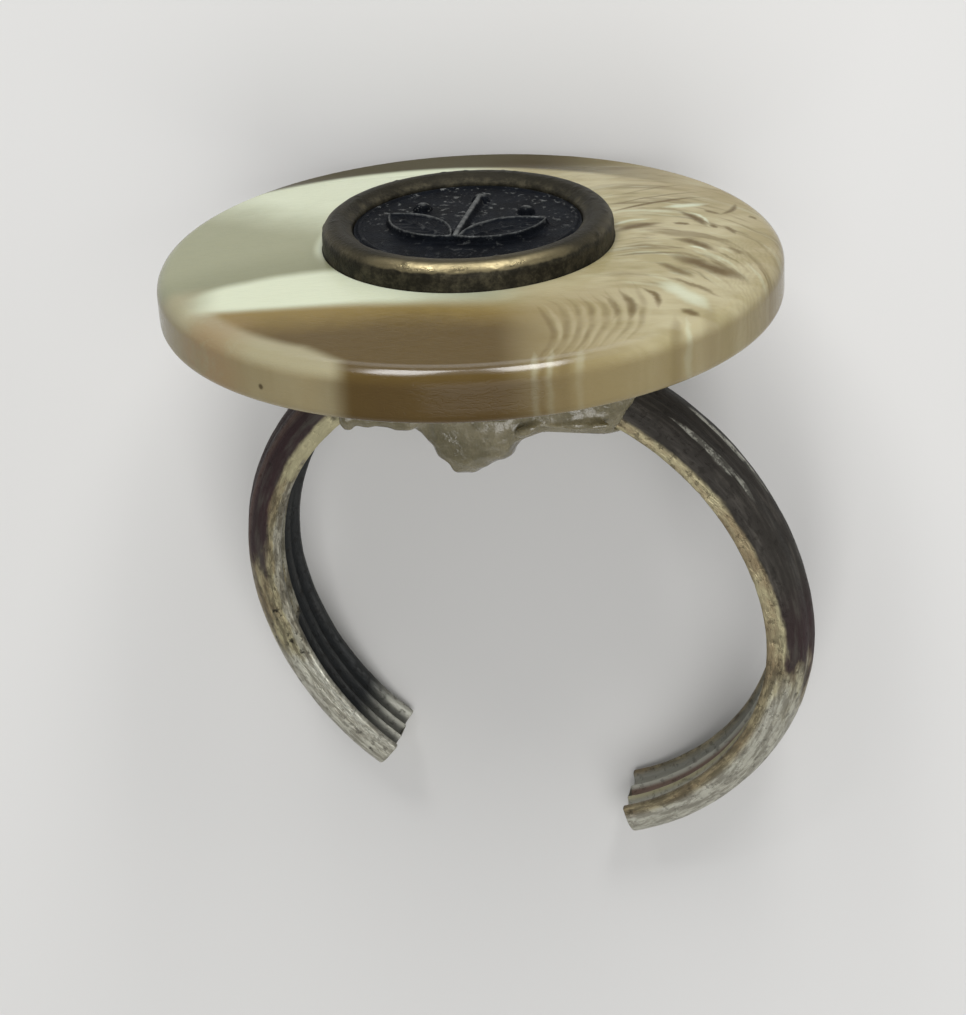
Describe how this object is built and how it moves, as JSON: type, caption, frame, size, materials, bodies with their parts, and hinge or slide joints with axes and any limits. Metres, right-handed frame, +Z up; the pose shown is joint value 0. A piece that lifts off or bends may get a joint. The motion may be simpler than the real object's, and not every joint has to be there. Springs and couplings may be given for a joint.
{
  "type": "button ring",
  "caption": "Finger ring with a large round swirled plastic button and a metal inset, glued on an open reeded metal hoop, lying on its side.",
  "frame": {"origin": "centre of the bounding box at the level of the floor that the ring lies on", "axes": "+Z up, +Y from the free ends of the hoop towards the button, +X to the right of someone who looks along +Y"},
  "size_m": [0.0274, 0.03, 0.0237],
  "materials": {
    "button_plastic": "polished, swirled cream and tan",
    "rim_bronze": "dark tarnished bronze, worn bright on its crest",
    "plate_metal": "blue-black patina, satin",
    "hoop_metal": "dull silver over base metal, heavily tarnished",
    "glue": "translucent, glossy"
  },
  "bodies": {
    "root": {"button_disc": "button_plastic", "inset_rim": "rim_bronze", "inset_plate": "plate_metal", "ring_band": "hoop_metal", "glue_pad": "glue"}
  },
  "joints": []
}
